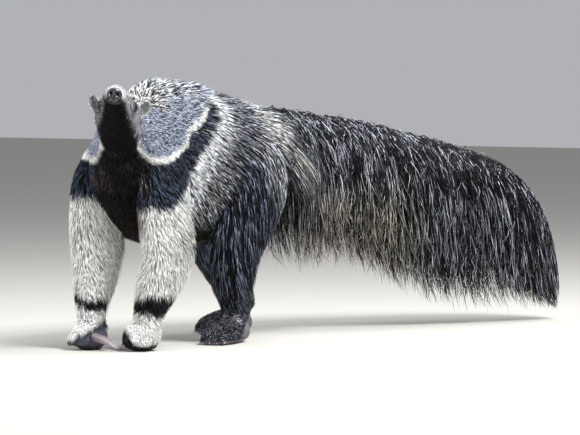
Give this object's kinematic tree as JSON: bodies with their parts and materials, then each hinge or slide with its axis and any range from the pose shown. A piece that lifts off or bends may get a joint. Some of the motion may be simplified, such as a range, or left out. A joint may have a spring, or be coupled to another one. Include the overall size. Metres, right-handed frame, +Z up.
{
  "type": "giant anteater",
  "caption": "Life-size standing giant anteater with its long snout raised, banded forelegs and a long-haired tail that hangs as a curtain, made as a still display model.",
  "frame": {"origin": "middle of the bounding box, on the floor that the feet stand on", "axes": "+Z is up, the animal stands facing -Y with its tail to +Y, and its left side is +X"},
  "size_m": [0.4996, 1.8926, 0.6582],
  "materials": {
    "grizzled_coat": "coarse black and cream hair, matte",
    "grey_coat": "short grey hair, matte",
    "black_coat": "black hair with a soft sheen",
    "cream_coat": "short cream hair, matte",
    "tail_coat": "long coarse dark hair with pale tips",
    "claw": "horn, smooth and slightly polished",
    "eye": "dark and wet"
  },
  "bodies": {
    "root": {"torso": "grizzled_coat", "neck": "grey_coat", "head": "grey_coat", "tail": "tail_coat", "ear_left": "grey_coat", "eye_left": "eye", "upper_arm_left": "black_coat", "forearm_left": "cream_coat", "forefoot_left": "cream_coat", "claw_left_1": "claw", "claw_left_2": "claw", "hindleg_left": "black_coat", "hindfoot_left": "black_coat", "ear_right": "grey_coat", "eye_right": "eye", "upper_arm_right": "black_coat", "forearm_right": "cream_coat", "forefoot_right": "cream_coat", "claw_right_1": "claw", "claw_right_2": "claw", "hindleg_right": "black_coat", "hindfoot_right": "black_coat"}
  },
  "joints": []
}
